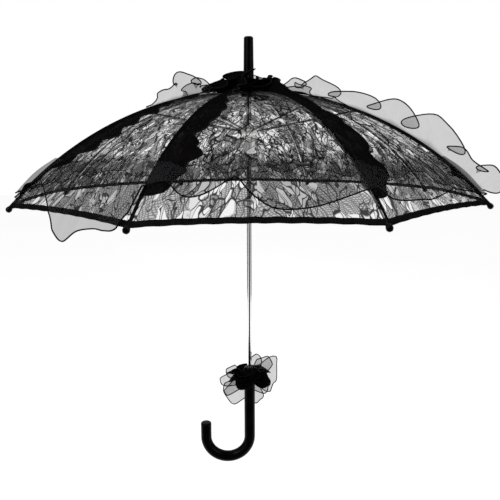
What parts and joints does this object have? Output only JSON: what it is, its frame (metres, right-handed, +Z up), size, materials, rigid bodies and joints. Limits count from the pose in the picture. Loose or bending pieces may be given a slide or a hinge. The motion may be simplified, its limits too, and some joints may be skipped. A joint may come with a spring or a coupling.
{
  "type": "lace parasol",
  "caption": "Open lace parasol with folding ribs, a ruffled net canopy, a chrome shaft, a long ferrule, a hooked handle and a ribbon bow.",
  "frame": {"origin": "on the shaft's axis, in the middle of the straight grip of the handle", "axes": "+Z up the shaft towards the ferrule; the hook lies in the XZ plane and opens towards -X; the middle of a canopy panel faces -Y"},
  "size_m": [0.6646, 0.6646, 0.7021],
  "materials": {
    "chrome": "polished",
    "steel": "satin",
    "black_plastic": "gloss",
    "white_plastic": "satin",
    "lace": "floral net lace, see-through",
    "organza": "sheer organza with a rolled edge"
  },
  "bodies": {
    "root": {"shaft": "chrome", "handle": "black_plastic", "ferrule": "black_plastic", "crown_cap": "black_plastic", "top_notch": "black_plastic", "notch_wire": "steel", "stop_pin": "steel", "crown_ruffle": "organza", "bow_band": "organza", "bow_knot": "organza", "bow_left": "organza", "bow_right": "organza"},
    "runner": {"runner": "white_plastic"},
    "top_catch": {"top_catch": "steel"},
    "bottom_catch": {"bottom_catch": "steel"},
    "rib_1": {"rib_1": "steel", "rib_tip_1": "black_plastic", "canopy_gore_1": "lace", "ruffle_1": "organza"},
    "stretcher_1": {"stretcher_1": "steel"},
    "rib_2": {"rib_2": "steel", "rib_tip_2": "black_plastic", "canopy_gore_2": "lace", "ruffle_2": "organza"},
    "stretcher_2": {"stretcher_2": "steel"},
    "rib_3": {"rib_3": "steel", "rib_tip_3": "black_plastic", "canopy_gore_3": "lace", "ruffle_3": "organza"},
    "stretcher_3": {"stretcher_3": "steel"},
    "rib_4": {"rib_4": "steel", "rib_tip_4": "black_plastic", "canopy_gore_4": "lace", "ruffle_4": "organza"},
    "stretcher_4": {"stretcher_4": "steel"},
    "rib_5": {"rib_5": "steel", "rib_tip_5": "black_plastic", "canopy_gore_5": "lace", "ruffle_5": "organza"},
    "stretcher_5": {"stretcher_5": "steel"},
    "rib_6": {"rib_6": "steel", "rib_tip_6": "black_plastic", "canopy_gore_6": "lace", "ruffle_6": "organza"},
    "stretcher_6": {"stretcher_6": "steel"},
    "rib_7": {"rib_7": "steel", "rib_tip_7": "black_plastic", "canopy_gore_7": "lace", "ruffle_7": "organza"},
    "stretcher_7": {"stretcher_7": "steel"},
    "rib_8": {"rib_8": "steel", "rib_tip_8": "black_plastic", "canopy_gore_8": "lace", "ruffle_8": "organza"},
    "stretcher_8": {"stretcher_8": "steel"}
  },
  "joints": [
    {"name": "runner_slide", "type": "slide", "parent": "root", "child": "runner", "axis": [0, 0, 1], "range_m": [-0.2467, 0]},
    {"name": "top_catch_press", "type": "slide", "parent": "root", "child": "top_catch", "axis": [0, -1, 0], "range_m": [0, 0.0025], "stiffness_N_per_m": 300},
    {"name": "bottom_catch_press", "type": "slide", "parent": "root", "child": "bottom_catch", "axis": [0, -1, 0], "range_m": [0, 0.0025], "stiffness_N_per_m": 300},
    {"name": "rib_1_fold", "type": "hinge", "parent": "root", "child": "rib_1", "pos_m": [0.00344, -0.00831, 0.53991], "axis": [0.9239, 0.3827, 0], "range_deg": [0, 63], "deforming": ["canopy_gore_1", "ruffle_1"]},
    {"name": "stretcher_1_fold", "type": "hinge", "parent": "rib_1", "child": "stretcher_1", "pos_m": [0.06352, -0.15336, 0.50962], "axis": [-0.9239, -0.3827, 0], "range_deg": [0, 127.53]},
    {"name": "rib_2_fold", "type": "hinge", "parent": "root", "child": "rib_2", "pos_m": [0.00831, -0.00344, 0.53991], "axis": [0.3827, 0.9239, 0], "range_deg": [0, 63], "deforming": ["canopy_gore_2", "ruffle_2"]},
    {"name": "stretcher_2_fold", "type": "hinge", "parent": "rib_2", "child": "stretcher_2", "pos_m": [0.15336, -0.06352, 0.50962], "axis": [-0.3827, -0.9239, 0], "range_deg": [0, 127.53]},
    {"name": "rib_3_fold", "type": "hinge", "parent": "root", "child": "rib_3", "pos_m": [0.00831, 0.00344, 0.53991], "axis": [-0.3827, 0.9239, 0], "range_deg": [0, 63], "deforming": ["canopy_gore_3", "ruffle_3"]},
    {"name": "stretcher_3_fold", "type": "hinge", "parent": "rib_3", "child": "stretcher_3", "pos_m": [0.15336, 0.06352, 0.50962], "axis": [0.3827, -0.9239, 0], "range_deg": [0, 127.53]},
    {"name": "rib_4_fold", "type": "hinge", "parent": "root", "child": "rib_4", "pos_m": [0.00344, 0.00831, 0.53991], "axis": [-0.9239, 0.3827, 0], "range_deg": [0, 63], "deforming": ["canopy_gore_4", "ruffle_4"]},
    {"name": "stretcher_4_fold", "type": "hinge", "parent": "rib_4", "child": "stretcher_4", "pos_m": [0.06352, 0.15336, 0.50962], "axis": [0.9239, -0.3827, 0], "range_deg": [0, 127.53]},
    {"name": "rib_5_fold", "type": "hinge", "parent": "root", "child": "rib_5", "pos_m": [-0.00344, 0.00831, 0.53991], "axis": [-0.9239, -0.3827, 0], "range_deg": [0, 63], "deforming": ["canopy_gore_5", "ruffle_5"]},
    {"name": "stretcher_5_fold", "type": "hinge", "parent": "rib_5", "child": "stretcher_5", "pos_m": [-0.06352, 0.15336, 0.50962], "axis": [0.9239, 0.3827, 0], "range_deg": [0, 127.53]},
    {"name": "rib_6_fold", "type": "hinge", "parent": "root", "child": "rib_6", "pos_m": [-0.00831, 0.00344, 0.53991], "axis": [-0.3827, -0.9239, 0], "range_deg": [0, 63], "deforming": ["canopy_gore_6", "ruffle_6"]},
    {"name": "stretcher_6_fold", "type": "hinge", "parent": "rib_6", "child": "stretcher_6", "pos_m": [-0.15336, 0.06352, 0.50962], "axis": [0.3827, 0.9239, 0], "range_deg": [0, 127.53]},
    {"name": "rib_7_fold", "type": "hinge", "parent": "root", "child": "rib_7", "pos_m": [-0.00831, -0.00344, 0.53991], "axis": [0.3827, -0.9239, 0], "range_deg": [0, 63], "deforming": ["canopy_gore_7", "ruffle_7"]},
    {"name": "stretcher_7_fold", "type": "hinge", "parent": "rib_7", "child": "stretcher_7", "pos_m": [-0.15336, -0.06352, 0.50962], "axis": [-0.3827, 0.9239, 0], "range_deg": [0, 127.53]},
    {"name": "rib_8_fold", "type": "hinge", "parent": "root", "child": "rib_8", "pos_m": [-0.00344, -0.00831, 0.53991], "axis": [0.9239, -0.3827, 0], "range_deg": [0, 63], "deforming": ["canopy_gore_8", "ruffle_8"]},
    {"name": "stretcher_8_fold", "type": "hinge", "parent": "rib_8", "child": "stretcher_8", "pos_m": [-0.06352, -0.15336, 0.50962], "axis": [-0.9239, 0.3827, 0], "range_deg": [0, 127.53]}
  ],
  "couplings": [
    {"joint": "rib_1_fold", "follows": "runner_slide", "rad_per_m": -4.4571},
    {"joint": "stretcher_1_fold", "follows": "runner_slide", "rad_per_m": -9.0226},
    {"joint": "rib_2_fold", "follows": "runner_slide", "rad_per_m": -4.4571},
    {"joint": "stretcher_2_fold", "follows": "runner_slide", "rad_per_m": -9.0226},
    {"joint": "rib_3_fold", "follows": "runner_slide", "rad_per_m": -4.4571},
    {"joint": "stretcher_3_fold", "follows": "runner_slide", "rad_per_m": -9.0226},
    {"joint": "rib_4_fold", "follows": "runner_slide", "rad_per_m": -4.4571},
    {"joint": "stretcher_4_fold", "follows": "runner_slide", "rad_per_m": -9.0226},
    {"joint": "rib_5_fold", "follows": "runner_slide", "rad_per_m": -4.4571},
    {"joint": "stretcher_5_fold", "follows": "runner_slide", "rad_per_m": -9.0226},
    {"joint": "rib_6_fold", "follows": "runner_slide", "rad_per_m": -4.4571},
    {"joint": "stretcher_6_fold", "follows": "runner_slide", "rad_per_m": -9.0226},
    {"joint": "rib_7_fold", "follows": "runner_slide", "rad_per_m": -4.4571},
    {"joint": "stretcher_7_fold", "follows": "runner_slide", "rad_per_m": -9.0226},
    {"joint": "rib_8_fold", "follows": "runner_slide", "rad_per_m": -4.4571},
    {"joint": "stretcher_8_fold", "follows": "runner_slide", "rad_per_m": -9.0226}
  ]
}
